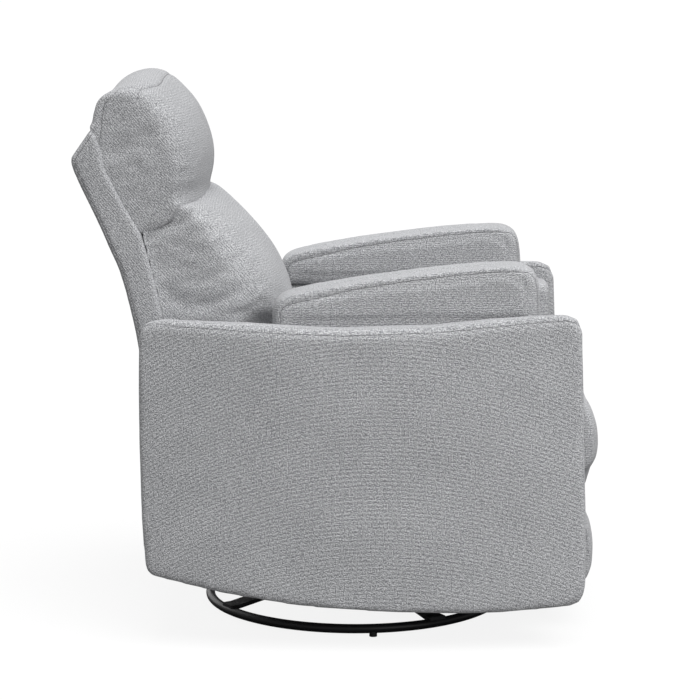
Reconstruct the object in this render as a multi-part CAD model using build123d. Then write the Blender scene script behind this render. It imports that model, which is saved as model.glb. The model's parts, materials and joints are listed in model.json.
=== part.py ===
"""Swivel glider recliner: base, glide, footrest, back and upholstery as separate solids.

Millimetres, +Z up, front of the chair at -Y, sitter's left at +X.  Every outline below is
written as (y, z) measured from the swivel axis; place() moves it to the middle of the footprint.
"""
import os
from math import cos, radians, sin

from build123d import *

# ---- driving dimensions -------------------------------------------------------------------
SWIVEL_Y = -32.0          # swivel axis, in front of the middle of the footprint

RING_R = 291.0            # centre line of the floor ring
RING_TUBE = 18.0
RING_Z = 15.0             # height of the tube's centre
GLIDE_D = 15.0
GLIDE_ANGLES = (83.4, 195.0, 263.4, 340.0)   # from the front towards the sitter's right
LEG_ANGLES = (57.8, 147.8, 237.8, 327.8)
LEG_WIDTH = 34.0
LEG_THICK = 8.0
HUB_TOP = 62.0
HUB_R = 75.0

BOLT_D = 16.0
BEARING_R = 68.0
RUN = 0.05                # radial running clearance
SIDE_GAP = 0.3            # gap between links that pass each other

SEAT_HALF = 248.0         # half width of the seat; the steel, the arms and the back follow it
SIDE_X = SEAT_HALF - 5    # inner face of the mechanism side plates

SWIVEL_Z = 74.0           # underside of the turning parts, less the running gap
HANGER_X = SIDE_X - 38    # inner face of the hanger plates
PLATE = 4.0               # steel plate
GLIDE_LINK = 120.0        # length between pivots
GLIDE_PIVOT_Y = 110.0
GLIDE_PIVOT_Z = 222.0
LINK_T = 5.0
PIN_D = 10.0
EYE_D = 24.0

RAIL_Z = 328.0            # underside of the wooden seat rails
RAIL_H = 47.0
RAIL_T = 18.0
RAIL_FRONT = -390.0       # rear face of the front seat rail
RAIL_REAR = 214.0         # front face of the rear seat rail

BAR = 190.0               # footrest bar between end pivots
BAR_W = 20.0
FOLDED = 78.0             # bar angle when the footrest is shut
OPENED = 22.0             # and when it is out
LIFT = 30.0               # how far the whole linkage tilts up on the way
FOOT_Y = -290.0           # fixed footrest pivot
FOOT_Z = 125.0

BACK_Y = 370.0            # recline pivot
BACK_Z = 400.0
BACK_HALF = SEAT_HALF + 4

ARM_WIDTH = 96.0
PANEL_BOW = 48.0          # how far the outer panel stands out
ARM_IN = SEAT_HALF + 8    # inner face of the arm
ARM_OUT = ARM_IN + ARM_WIDTH
ARM_TOP = 600.0
PANEL_MAX = ARM_OUT + PANEL_BOW
PAD_IN = ARM_IN - 9
PAD_OUT = ARM_OUT - 8


# ---- helpers --------------------------------------------------------------------------------
def plate(points, x0, x1):
    """A flat piece: an outline in the (y, z) plane given a thickness from x0 to x1."""
    face = make_face(Polyline(*points, close=True))
    return extrude(Plane.YZ.offset(x0) * face, x1 - x0)


def rod(y, z, diameter, x0, x1):
    """A round pin along X."""
    return extrude(Plane.YZ.offset(x0) * Pos(y, z) * Circle(diameter / 2), x1 - x0)


def post(x, y, diameter, z0, z1):
    """A round post along Z."""
    return extrude(Plane.XY.offset(z0) * Pos(x, y) * Circle(diameter / 2), z1 - z0)


def block(x0, x1, y0, y1, z0, z1):
    """A box given by its six faces."""
    size = (x1 - x0, y1 - y0, z1 - z0)
    return Pos((x0 + x1) / 2, (y0 + y1) / 2, (z0 + z1) / 2) * Box(*size)


def bar(p, q, width, x0, x1):
    """A link with round ends between two pivots."""
    dy, dz = q[0] - p[0], q[1] - p[1]
    length = (dy * dy + dz * dz) ** 0.5
    ny, nz = -dz / length * width / 2, dy / length * width / 2
    web = plate([(p[0] + ny, p[1] + nz), (q[0] + ny, q[1] + nz),
                 (q[0] - ny, q[1] - nz), (p[0] - ny, p[1] - nz)], x0, x1)
    return web + rod(*p, width, x0, x1) + rod(*q, width, x0, x1)


def toward(origin, distance, angle):
    """A point at a distance from another; the angle rises from straight ahead."""
    return (origin[0] - distance * cos(radians(angle)), origin[1] + distance * sin(radians(angle)))


def scaled(points, centre, ky, kz):
    """An outline drawn in towards its centre."""
    return [(centre[0] + (y - centre[0]) * ky, centre[1] + (z - centre[1]) * kz) for y, z in points]


def stuffed(points, x0, x1, centre, stations):
    """A stuffed form: one side outline, drawn in towards a centre by each station's two shares."""
    middle, half = (x0 + x1) / 2, (x1 - x0) / 2
    both_ends = [(-t, ky, kz) for t, ky, kz in reversed(stations[1:])] + list(stations)
    rings = []
    for t, ky, kz in both_ends:
        outline = Spline(*scaled(points, centre, ky, kz), periodic=True)
        rings.append(Plane.YZ.offset(middle + t * half) * make_face(outline))
    return loft(rings)


def cushion(points, x0, x1, draw=(0.84, 0.95, 0.99, 1.0)):
    """A boxed form that is drawn in towards its middle at both ends."""
    centre = (sum(p[0] for p in points) / len(points), sum(p[1] for p in points) / len(points))
    stations = [(t, k, k) for t, k in ((0.0, draw[3]), (0.7, draw[2]), (0.93, draw[1]), (1.0, draw[0]))]
    return stuffed(points, x0, x1, centre, stations)


def other_side(shape):
    """The same piece for the sitter's right."""
    return mirror(shape, Plane.YZ)


NODES = {}


def node(name, shape):
    """Keep a finished piece under its name."""
    NODES[name] = shape


def pair(name, shape):
    """Keep a piece and its mirror image."""
    node(name + "_left", shape)
    node(name + "_right", other_side(shape))


# ---- base -----------------------------------------------------------------------------------
ring = Pos(0, 0, RING_Z) * Torus(RING_R, RING_TUBE / 2)
node("floor_ring", ring)


def around(angle, radius):
    """A floor point, the angle counted from the front towards the sitter's right."""
    return (-radius * sin(radians(angle)), -radius * cos(radians(angle)))


glides = Part()
for angle in GLIDE_ANGLES:
    gx, gy = around(angle, RING_R)
    glides += post(gx, gy, GLIDE_D, 0, RING_Z - RING_TUBE / 4) - ring
node("floor_glides", glides)

leg_side = [(0, HUB_TOP - LEG_THICK), (HUB_R, HUB_TOP - LEG_THICK), (RING_R - 14, RING_Z + 5),
            (RING_R + 6, RING_Z + 5), (RING_R + 6, RING_Z + 5 + LEG_THICK),
            (RING_R - 12, RING_Z + 5 + LEG_THICK), (HUB_R + 2, HUB_TOP), (0, HUB_TOP)]
leg = extrude(Plane.XZ.offset(-LEG_WIDTH / 2) * make_face(Polyline(*leg_side, close=True)), LEG_WIDTH)
cross = post(0, 0, 2 * HUB_R, HUB_TOP - LEG_THICK, HUB_TOP)
for angle in LEG_ANGLES:
    cross += Rot(0, 0, -90 - angle) * leg
cross -= ring
cross -= post(0, 0, BOLT_D, 0, HUB_TOP + 1)
node("base_cross", cross)

lower = post(0, 0, 2 * BEARING_R, HUB_TOP, SWIVEL_Z - 2) - post(0, 0, BOLT_D, 0, SWIVEL_Z)
node("lower_race", lower)
washer = post(0, 0, 2 * BEARING_R - 12, SWIVEL_Z - 2, SWIVEL_Z) - post(0, 0, BOLT_D, 0, SWIVEL_Z + 1)
node("thrust_washer", washer)

FLOOR_PLATE = SWIVEL_Z + 8
NUT_Z = FLOOR_PLATE + 6 + RUN
bolt_head = extrude(Plane.XY.offset(HUB_TOP - LEG_THICK - 9) * RegularPolygon(14, 6), 9)
nut = extrude(Plane.XY.offset(NUT_Z) * RegularPolygon(14, 6), 12)
bolt = bolt_head + post(0, 0, BOLT_D, HUB_TOP - LEG_THICK, NUT_Z + 16) + nut
node("king_bolt", bolt)

# ---- turning frame ----------------------------------------------------------------------------
bore = post(0, 0, BOLT_D + 2 * RUN, 0, NUT_Z)
upper = post(0, 0, 2 * BEARING_R + 14, SWIVEL_Z + RUN, FLOOR_PLATE) - bore
node("upper_race", upper)

hanger_side = [(-45, FLOOR_PLATE), (45, FLOOR_PLATE), (45, 125), (GLIDE_PIVOT_Y + 18, GLIDE_PIVOT_Z - 22),
               (GLIDE_PIVOT_Y + 18, GLIDE_PIVOT_Z + 14), (-GLIDE_PIVOT_Y - 18, GLIDE_PIVOT_Z + 14),
               (-GLIDE_PIVOT_Y - 18, GLIDE_PIVOT_Z - 22), (-45, 125)]
LINK_X = HANGER_X + PLATE + SIDE_GAP
hanger = plate(hanger_side, HANGER_X, HANGER_X + PLATE)
for y in (-40, 0, 40):
    hanger -= rod(y, GLIDE_PIVOT_Z - 22, 26, HANGER_X - 1, HANGER_X + PLATE + 1)
for end in (-1, 1):
    y = end * GLIDE_PIVOT_Y
    hanger += rod(y, GLIDE_PIVOT_Z, PIN_D, HANGER_X, LINK_X + LINK_T + SIDE_GAP + 3)
    hanger += rod(y, GLIDE_PIVOT_Z, 18, LINK_X + LINK_T + SIDE_GAP, LINK_X + LINK_T + SIDE_GAP + 3)
turning = block(-HANGER_X - PLATE, HANGER_X + PLATE, -45, 45, FLOOR_PLATE, FLOOR_PLATE + 6)
turning += block(-HANGER_X, HANGER_X, -45, -41, FLOOR_PLATE + 6, FLOOR_PLATE + 26)
turning += block(-HANGER_X, HANGER_X, 41, 45, FLOOR_PLATE + 6, FLOOR_PLATE + 26)
turning = turning - bore + hanger + other_side(hanger)
node("swivel_frame", turning)

LOW_Z = GLIDE_PIVOT_Z - GLIDE_LINK
for name, end in (("front", -1), ("rear", 1)):
    top, foot = (end * GLIDE_PIVOT_Y, GLIDE_PIVOT_Z), (end * GLIDE_PIVOT_Y, LOW_Z)
    link = bar(top, foot, EYE_D, LINK_X, LINK_X + LINK_T)
    for hole in (top, foot):
        link -= rod(*hole, PIN_D + 2 * RUN, LINK_X - 1, LINK_X + LINK_T + 1)
    pair("glide_link_" + name, link)

# ---- carriage steel ---------------------------------------------------------------------------
FOOT = (FOOT_Y, FOOT_Z)
OUTER_BAR = SIDE_X - 0.5 - PLATE      # layer beside the side plate
INNER_BAR = OUTER_BAR - 0.5 - PLATE   # layer further in


def slot_point(share):
    """Where the cross link's rear pin stands when the footrest is this far out."""
    angle = FOLDED + (OPENED - FOLDED) * share
    return toward(FOOT, BAR * sin(radians(angle)), 90 + LIFT * share)


side_outline = [(FOOT_Y - 20, FOOT_Z - 17), (-140, LOW_Z - 18), (140, LOW_Z - 18), (268, 250), (330, 318),
                (BACK_Y + 22, BACK_Z - 24), (BACK_Y + 22, BACK_Z + 24), (BACK_Y - 22, BACK_Z + 24),
                (250, RAIL_Z), (RAIL_FRONT, RAIL_Z), (RAIL_FRONT, RAIL_Z - 32), (FOOT_Y - 22, 240)]
side = plate(side_outline, SIDE_X, SIDE_X + PLATE)
for y, z in ((-150, 240), (-75, 240), (0, 240), (75, 240), (150, 240), (-40, 160), (40, 160)):
    side -= rod(y, z, 40, SIDE_X - 1, SIDE_X + PLATE + 1)
for share in [n / 12 for n in range(13)]:
    side -= rod(*slot_point(share), PIN_D + 1.6, SIDE_X - 1, SIDE_X + PLATE + 1)
for first, last in [(n / 12, (n + 1) / 12) for n in range(12)]:
    side -= bar(slot_point(first), slot_point(last), PIN_D + 1.6, SIDE_X - 1, SIDE_X + PLATE + 1)
for end in (-1, 1):
    y = end * GLIDE_PIVOT_Y
    side += rod(y, LOW_Z, 22, LINK_X + LINK_T + SIDE_GAP, SIDE_X)
    side += rod(y, LOW_Z, PIN_D, LINK_X - SIDE_GAP - 3, SIDE_X)
    side += rod(y, LOW_Z, 18, LINK_X - SIDE_GAP - 3, LINK_X - SIDE_GAP)
side += rod(*FOOT, PIN_D, OUTER_BAR - 0.5 - 3, SIDE_X) + rod(*FOOT, 16, OUTER_BAR - 3.5, OUTER_BAR - 0.5)
side += rod(BACK_Y, BACK_Z, PIN_D, OUTER_BAR - 3.5, SIDE_X)
side += rod(BACK_Y, BACK_Z, 18, OUTER_BAR - 3.5, OUTER_BAR - 0.5)
pair("side_plate", side)
pair("rail_strip", block(SIDE_X - 20, SIDE_X, RAIL_FRONT, RAIL_REAR + RAIL_T, RAIL_Z - PLATE, RAIL_Z))

for name, y, z in (("front_tube", -205, 272), ("rear_tube", 228, 268)):
    node(name, rod(y, z, 25, -SIDE_X, SIDE_X) - rod(y, z, 20, -SIDE_X, SIDE_X))

# ---- seat -------------------------------------------------------------------------------------
RAIL_TOP = RAIL_Z + RAIL_H
RAIL_HALF = SIDE_X + PLATE
APRON_HALF = SEAT_HALF - 30
front_face = [(-RAIL_HALF, RAIL_Z), (-RAIL_HALF, RAIL_TOP), (RAIL_HALF, RAIL_TOP), (RAIL_HALF, RAIL_Z),
              (APRON_HALF, RAIL_Z), (APRON_HALF, 270), (-APRON_HALF, 270), (-APRON_HALF, RAIL_Z)]
front_rail = extrude(Plane.XZ.offset(-RAIL_FRONT) * make_face(Polyline(*front_face, close=True)), RAIL_T)
node("seat_front_rail", front_rail)
node("seat_rear_rail", block(-RAIL_HALF, RAIL_HALF, RAIL_REAR, RAIL_REAR + RAIL_T, RAIL_Z, RAIL_TOP))
pair("seat_side_rail", block(SIDE_X - 20, RAIL_HALF, RAIL_FRONT, RAIL_REAR, RAIL_Z, RAIL_TOP))

SPRING_D = 4.0


def sinuous(x):
    """One zigzag seat spring from the front rail to the rear rail."""
    z = RAIL_TOP + SPRING_D / 2
    pitch, swing = 30.0, 22.0
    pts = [(x, RAIL_FRONT - 10, z), (x, RAIL_FRONT + 10, z)]
    y, sign = RAIL_FRONT + 10 + pitch / 2, 1
    while y < RAIL_REAR - 9:
        pts.append((x + sign * swing, y - 5, z))
        pts.append((x + sign * swing, y + 5, z))
        y += pitch / 2 + 8
        sign = -sign
    pts += [(x, RAIL_REAR, z), (x, RAIL_REAR + 10, z)]
    path = Polyline(*pts)
    disc = Plane(origin=pts[0], z_dir=(0, 1, 0)) * Circle(SPRING_D / 2)
    return sweep(disc, path=path, transition=Transition.RIGHT)


springs = Part()
for n in (-2, -1, 0, 1, 2):
    springs += sinuous(n * (SEAT_HALF - 78) / 2)
node("seat_springs", springs)

CUSHION_Z = RAIL_TOP + SPRING_D + 0.3
seat_side = [(118, 400), (116, 470), (98, 498), (0, 508), (-150, 507), (-300, 501), (-380, 490),
             (-424, 470), (-450, 438), (-464, 398), (-468, 354), (-463, 316), (-446, 302), (-418, 305),
             (-411, 330), (-410, 362), (-404, CUSHION_Z + 3), (-380, CUSHION_Z), (-150, CUSHION_Z),
             (90, CUSHION_Z)]
lip_side = [(-411, 350), (-411, 268), (-420, 256), (-433, 250), (-445, 262), (-454, 288), (-460, 320),
            (-456, 350)]
seat = cushion(seat_side, -SEAT_HALF, SEAT_HALF, (0.93, 0.975, 0.995, 1.0))
LIP_HALF = SEAT_HALF - 26
lip = cushion(lip_side, -LIP_HALF, LIP_HALF, (0.80, 0.94, 0.99, 1.0))
seat_room = block(-SEAT_HALF - 5, SEAT_HALF + 5, -410, 300, 200, CUSHION_Z)
node("seat_cushion", (seat + lip) - seat_room)

# ---- arms -------------------------------------------------------------------------------------
FRAME_IN = ARM_IN + 6
frame_outer = [(-395, 108), (0, 102), (200, 122), (386, 162), (386, ARM_TOP - 8), (-395, ARM_TOP - 8)]
frame_hole = [(-377, 126), (0, 120), (196, 140), (368, 177), (368, ARM_TOP - 26), (-377, ARM_TOP - 26)]
arm_frame = plate(frame_outer, FRAME_IN, ARM_OUT) - plate(frame_hole, FRAME_IN + 12, ARM_OUT - 12)
for y0 in (-250, 120):
    arm_frame += block(SIDE_X + PLATE, FRAME_IN, y0, y0 + 110, 125, 168)
    arm_frame += block(SIDE_X + PLATE, FRAME_IN, y0, y0 + 110, 290, 320)
pair("arm_frame", arm_frame)

cover_side = [(-403, 102), (0, 96), (200, 116), (393, 156), (393, ARM_TOP), (-403, ARM_TOP)]
cover_out = plate(cover_side, ARM_IN, ARM_OUT)
cover_out = fillet(cover_out.edges().filter_by(Axis.Z).filter_by(lambda e: e.center().X < ARM_IN + 1), 10)
cover_room = block(FRAME_IN, ARM_OUT + 1, -395, 386, 90, ARM_TOP - 8)
low_inside = block(ARM_IN - 1, FRAME_IN, -393, 384, 90, RAIL_Z - 6)
arm_cover = cover_out - cover_room - low_inside
pair("arm_cover", arm_cover)

panel_side = [(-424, 100), (-418, 89), (-402, 83), (-344, 77), (-269, 72), (-175, 71), (-82, 73), (11, 79),
              (104, 86), (253, 111), (366, 135), (386, 141), (394, 156), (399, 250), (402, 400), (401, 590),
              (395, 612), (378, 622), (351, 624), (282, 621), (139, 613), (22, 609), (-67, 612), (-153, 615),
              (-239, 623), (-326, 631), (-385, 633), (-408, 625), (-418, 603), (-423, 470), (-427, 286),
              (-430, 180), (-429, 120)]
FRONT_EDGE = ARM_OUT + 20
REAR_EDGE = ARM_OUT + 16
plan = make_face(Polyline((FRONT_EDGE, -445), (ARM_OUT, -445), (ARM_OUT, 425), (REAR_EDGE, 425))
                 + ThreePointArc((REAR_EDGE, 425), (PANEL_MAX, -10), (FRONT_EDGE, -445)))
panel = extrude(Plane.XY.offset(50) * plan, 620) & plate(panel_side, ARM_OUT, PANEL_MAX + 10)
outer_face = panel.faces().sort_by(Axis.X)[-1]
panel = fillet(outer_face.edges(), 7)
pair("arm_panel", panel)

PAD_ROOT = ARM_TOP - 14   # the outline runs on below the arm's top and is cut off there
pad_side = [(157, PAD_ROOT), (157, 620), (155, 642), (144, 658), (122, 668), (67, 679), (0, 691), (-80, 702),
            (-158, 711), (-233, 718), (-290, 721), (-317, 717), (-334, 704), (-342, 680), (-345, 640),
            (-346, PAD_ROOT), (-230, PAD_ROOT - 4), (-90, PAD_ROOT - 4), (50, PAD_ROOT - 4)]
pad = cushion(pad_side, PAD_IN, PAD_OUT, (0.90, 0.96, 0.99, 1.0))
pad -= block(PAD_IN - 5, PAD_OUT + 5, -500, 300, PAD_ROOT - 60, ARM_TOP + 0.3)
pair("arm_pad", pad)

# ---- footrest ---------------------------------------------------------------------------------
TIP = toward(FOOT, BAR, FOLDED)
END = toward(FOOT, 2 * BAR * cos(radians(FOLDED)), 0)
CROSS_TOP = slot_point(0)
CROSS_LOW = toward(FOOT, BAR * cos(radians(FOLDED)), 0)
MEET_1 = ((FOOT[0] + TIP[0]) / 2, (FOOT[1] + TIP[1]) / 2)
MEET_2 = ((TIP[0] + END[0]) / 2, (TIP[1] + END[1]) / 2)
O0, O1 = OUTER_BAR, OUTER_BAR + PLATE
I0, I1 = INNER_BAR, INNER_BAR + PLATE
HOLE = PIN_D + 2 * RUN
OPEN_HOLE = PIN_D + 0.6

rear_link = bar(FOOT, TIP, BAR_W, O0, O1) - rod(*FOOT, HOLE, O0 - 1, O1 + 1)
for pivot in (MEET_1, TIP):
    rear_link += rod(*pivot, PIN_D, I0 - 3.3, O0) + rod(*pivot, 16, I0 - 3.3, I0 - 0.3)
pair("footrest_rear_link", rear_link)

cross_link = bar(CROSS_TOP, CROSS_LOW, BAR_W, I0, I1) - rod(*MEET_1, HOLE, I0 - 1, I1 + 1)
cross_link += rod(*CROSS_LOW, PIN_D, I1, O1) + rod(*CROSS_TOP, PIN_D, I1, SIDE_X + PLATE)
pair("footrest_cross_link", cross_link)

short_link = bar(CROSS_LOW, MEET_2, BAR_W, O0, O1)
short_link -= rod(*CROSS_LOW, HOLE, O0 - 1, O1 + 1) + rod(*MEET_2, OPEN_HOLE, O0 - 1, O1 + 1)
pair("footrest_short_link", short_link)

BOARD_Y = -378.0
BOARD_T = 12.0
BOARD_HALF = SEAT_HALF - 22
foot_arm = bar(TIP, END, BAR_W, I0, I1) - rod(*TIP, HOLE, I0 - 1, I1 + 1)
foot_arm += plate([(END[0] + 4, 108), (BOARD_Y, 108), (BOARD_Y, 214), (MEET_2[0] - 2, 214)], I0, I1)
foot_arm += block(I1 - 40, I1, BOARD_Y, BOARD_Y + PLATE, 108, 214)
foot_arm += rod(*MEET_2, PIN_D, I1, O1)
pair("footrest_arm", foot_arm)

node("footrest_board", block(-BOARD_HALF, BOARD_HALF, BOARD_Y - BOARD_T, BOARD_Y, 98, 222))
pad_front = BOARD_Y - BOARD_T - 0.3
foot_side = [(pad_front, 100), (pad_front, 160), (pad_front, 210), (pad_front - 8, 223), (-412, 231),
             (-429, 233), (-443, 224), (-452, 203), (-457, 168), (-457, 130), (-452, 98), (-438, 80),
             (-415, 75), (pad_front - 6, 84)]
PAD_HALF = SEAT_HALF - 12
foot_pad = cushion(foot_side, -PAD_HALF, PAD_HALF, (0.86, 0.95, 0.99, 1.0))
foot_pad -= block(-PAD_HALF - 4, PAD_HALF + 4, pad_front, pad_front + 90, 50, 300)
node("footrest_pad", foot_pad)

# ---- back -------------------------------------------------------------------------------------
bracket = bar((BACK_Y, BACK_Z), (BACK_Y + 8, 590), 30, O0, O1) - rod(BACK_Y, BACK_Z, HOLE, O0 - 1, O1 + 1)
pair("back_bracket", bracket)

STILE_OUT = O0
stile_side = [(358, 446), (366, 600), (386, 690), (434, 815), (475, 896), (492, 946), (514, 906), (496, 862),
              (455, 750), (427, 668), (408, 600), (396, 511), (390, 446)]
stile = plate(stile_side, STILE_OUT - 24, STILE_OUT)
back_frame = stile + other_side(stile)
for corner_a, corner_b, corner_c, corner_d in (
        ((358, 446), (361, 500), (395, 500), (390, 446)),
        ((366, 600), (376, 645), (419, 640), (408, 600)),
        ((471, 888), (492, 946), (514, 906), (498, 868))):
    back_frame += plate([corner_a, corner_b, corner_c, corner_d], -STILE_OUT + 24, STILE_OUT - 24)
node("back_frame", back_frame)

webbing = Part()
for start, end, share in (((358, 446), (366, 600), 0.6), ((366, 600), (386, 690), 0.65),
                          ((386, 690), (434, 815), 0.3), ((386, 690), (434, 815), 0.8)):
    dy, dz = end[0] - start[0], end[1] - start[1]
    length = (dy * dy + dz * dz) ** 0.5
    uy, uz = dy / length, dz / length
    my, mz = start[0] + dy * share - 0.1 * uz, start[1] + dz * share + 0.1 * uy
    web = [(my - 22 * uy, mz - 22 * uz), (my + 22 * uy, mz + 22 * uz),
           (my + 22 * uy - 2 * uz, mz + 22 * uz + 2 * uy), (my - 22 * uy - 2 * uz, mz - 22 * uz + 2 * uy)]
    webbing += plate(web, -STILE_OUT + 3, STILE_OUT - 3)
node("back_webbing", webbing)

shell_side = [(353, 440), (363, 607), (382, 688), (403, 768), (431, 816), (470, 888), (477, 923), (492, 967),
              (533, 908), (529, 890), (513, 852), (495, 814), (478, 777), (463, 740), (446, 702), (434, 663),
              (425, 625), (417, 588), (410, 549), (407, 511), (404, 470), (404, 440)]
room_side = [(330, 430), (330, 607), (350, 700), (390, 800), (440, 900), (480, 960), (494, 950), (518, 906),
             (500, 860), (459, 748), (431, 666), (412, 598), (400, 511), (396, 430)]
shell = plate(shell_side, -BACK_HALF, BACK_HALF) - plate(room_side, -O1 - 0.5, O1 + 0.5)
node("back_shell", shell)
FLAP_HALF = BACK_HALF - 16
node("back_flap", block(-FLAP_HALF, FLAP_HALF, 404, 409, 227, 439.7)
     + block(-FLAP_HALF, FLAP_HALF, 398, 404, 420, 439.7))

torso_side = [(284, 826), (262, 816), (238, 796), (206, 764), (186, 740), (166, 714), (150, 686), (134, 650),
              (124, 612), (120, 560), (122, 510), (128, 460), (146, 415), (200, 398), (290, 400), (352, 412),
              (375, 470), (385, 560), (392, 620), (408, 690), (432, 756), (395, 770), (345, 780), (312, 792)]
behind = Pos(0, -0.3, 0) * plate(shell_side, -BACK_HALF - 20, BACK_HALF + 20)
behind += plate(shell_side, -BACK_HALF - 20, BACK_HALF + 20)
behind += plate([(353, 380), (353, 441), (470, 441), (470, 380)], -BACK_HALF - 20, BACK_HALF + 20)
TORSO_HALF = BACK_HALF - 10
torso = stuffed(torso_side, -TORSO_HALF, TORSO_HALF, (405, 785),
                [(0.0, 1.0, 1.0), (0.4, 0.985, 1.0), (0.68, 0.925, 0.99), (0.87, 0.82, 0.975),
                 (0.96, 0.71, 0.955), (1.0, 0.62, 0.94)])
head_side = [(289, 833), (281, 862), (278, 893), (281, 925), (292, 963), (308, 994), (328, 1017), (352, 1037),
             (378, 1050), (402, 1053), (427, 1050), (452, 1041), (470, 1026), (484, 1003), (492, 980),
             (500, 962), (502, 925), (490, 890), (466, 830), (436, 776), (390, 763), (345, 773), (310, 793)]
HEAD_HALF = BACK_HALF - 6
head = stuffed(head_side, -HEAD_HALF, HEAD_HALF, (490, 775),
               [(0.0, 1.0, 1.0), (0.4, 0.985, 0.995), (0.68, 0.93, 0.975), (0.87, 0.85, 0.95),
                (0.96, 0.76, 0.925), (1.0, 0.68, 0.90)])
torso -= behind
node("torso_cushion", torso)
node("head_cushion", head - torso - behind)

# ---- release handle ---------------------------------------------------------------------------
LEVER_Y = -215.0
LEVER_Z = 548.0
bezel = rod(LEVER_Y, LEVER_Z, 52, -ARM_IN, -ARM_IN + 3) - rod(LEVER_Y, LEVER_Z, 12 + 2 * RUN, -ARM_IN - 1, -ARM_IN + 4)
node("handle_bezel", bezel)
lever = rod(LEVER_Y, LEVER_Z, 12, -FRAME_IN + 1, -ARM_IN + 5) + rod(LEVER_Y, LEVER_Z, 30, -ARM_IN + 3.4, -ARM_IN + 8)
lever += bar((LEVER_Y, LEVER_Z), (LEVER_Y - 78, LEVER_Z + 6), 22, -ARM_IN + 3.4, -ARM_IN + 8)
node("release_handle", lever)
right_cover = NODES["arm_cover_right"] - rod(LEVER_Y, LEVER_Z, 12 + 2 * RUN, -FRAME_IN - 1, -ARM_IN + 1)
node("arm_cover_right", right_cover)

bolts = Part()
for y in (-225, -165, 145, 205):
    bolts += extrude(Plane.YZ.offset(SIDE_X - 5) * Pos(y, 306) * RegularPolygon(7, 6), 5)
bolts += other_side(bolts)
node("carriage_bolts", bolts)

# ---- export -----------------------------------------------------------------------------------
os.makedirs("parts", exist_ok=True)
for name, shape in NODES.items():
    export_step(Pos(0, SWIVEL_Y, 0) * shape, "parts/" + name + ".step")
    box = shape.bounding_box()
    print(name, "x %.0f..%.0f y %.0f..%.0f z %.0f..%.0f" % (
        box.min.X, box.max.X, box.min.Y + SWIVEL_Y, box.max.Y + SWIVEL_Y, box.min.Z, box.max.Z))
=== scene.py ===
# %% [markdown]
# # A swivel glider recliner in heathered grey chenille
#
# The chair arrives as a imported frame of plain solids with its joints. This script dresses it:
# stuffed cushions, upholstered arms, a powder-coated floor ring and the steel underneath.
# Lengths are metres. The front of the chair is -Y, the sitter's left is +X and +Z is up.

import json
import math

import bmesh
import bpy
import numpy as np
from mathutils import Matrix, Vector, noise
from mathutils.bvhtree import BVHTree


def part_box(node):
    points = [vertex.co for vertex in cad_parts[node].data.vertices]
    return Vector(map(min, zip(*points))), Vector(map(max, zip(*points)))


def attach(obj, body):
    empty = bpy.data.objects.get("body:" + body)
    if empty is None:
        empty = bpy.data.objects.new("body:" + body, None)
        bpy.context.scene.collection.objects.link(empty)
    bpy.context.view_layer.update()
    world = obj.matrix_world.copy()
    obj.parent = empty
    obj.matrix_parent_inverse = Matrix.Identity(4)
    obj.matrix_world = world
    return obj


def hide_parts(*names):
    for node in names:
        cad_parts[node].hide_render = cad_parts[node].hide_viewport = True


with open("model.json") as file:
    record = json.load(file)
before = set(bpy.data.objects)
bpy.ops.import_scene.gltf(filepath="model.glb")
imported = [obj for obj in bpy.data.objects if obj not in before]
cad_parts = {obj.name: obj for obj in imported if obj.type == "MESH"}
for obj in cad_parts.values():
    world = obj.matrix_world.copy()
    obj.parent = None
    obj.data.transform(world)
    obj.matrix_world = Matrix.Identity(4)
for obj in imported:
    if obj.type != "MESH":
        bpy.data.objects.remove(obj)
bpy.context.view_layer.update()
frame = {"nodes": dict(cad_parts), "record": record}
scene = bpy.context.scene
SIDES = (("left", 1), ("right", -1))
MM = 0.001
UPRIGHT = Matrix.Rotation(math.radians(90), 3, "X")


# %% Helpers for objects
def new_object(name, data):
    """An object at the origin with that mesh, lamp or camera."""
    thing = bpy.data.objects.new(name, data)
    scene.collection.objects.link(thing)
    return thing


def from_bmesh(name, bm):
    """An object from a bmesh, which is then freed."""
    mesh = bpy.data.meshes.new(name)
    bm.to_mesh(mesh)
    bm.free()
    return new_object(name, mesh)


def looking_along(sight):
    """The turn that points an object's own -Z along a line of sight."""
    return sight.to_track_quat("-Z", "Y").to_euler()


# %% [markdown]
# ## The camera
#
# The picture was taken square to the sitter's right side, from a little above and from far away,
# so the two arms nearly overlap. A long lens from over five metres gives the same flat look.

# %% Place the camera
SWIVEL_Y = -0.032
CAMERA_AT = Vector((-5.279, SWIVEL_Y + 0.0108, 1.4031))
CAMERA_PITCH = math.radians(9.658)
IMAGE_SIDE = 700
FOCAL_PIXELS = 2700

camera_data = bpy.data.cameras.new("side_camera")
camera_data.sensor_width = 36
camera_data.lens = FOCAL_PIXELS / IMAGE_SIDE * camera_data.sensor_width
camera = new_object("side_camera", camera_data)
camera.rotation_euler = looking_along(Vector((math.cos(CAMERA_PITCH), 0, -math.sin(CAMERA_PITCH))))
camera.location = CAMERA_AT
scene.camera = camera
print("lens", round(camera_data.lens, 1), "mm")

# %% [markdown]
# ## Studio light and floor
#
# The light is that of a catalogue studio: an even sky, a broad key light high on the camera's side,
# a softbox off the near front corner that makes the front of each arm lighter than its rear, and a
# weak fill for the far side. The world shows white to the camera but lights the chair less, so that
# the fabric keeps its mid grey.

# %% Light the studio
WHITE = (1, 1, 1, 1)
SKY_LIGHT = 0.28
KEY_FROM = (-0.32, -0.24, 0.92)
FILL_FROM = (0.75, 0.45, 0.48)
SOFTBOX_AT = Vector((-2.3, -1.5, 1.2))
SOFTBOX_AIM = Vector((-0.3, -0.2, 0.5))
FLOOR_SIZE = 60


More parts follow.
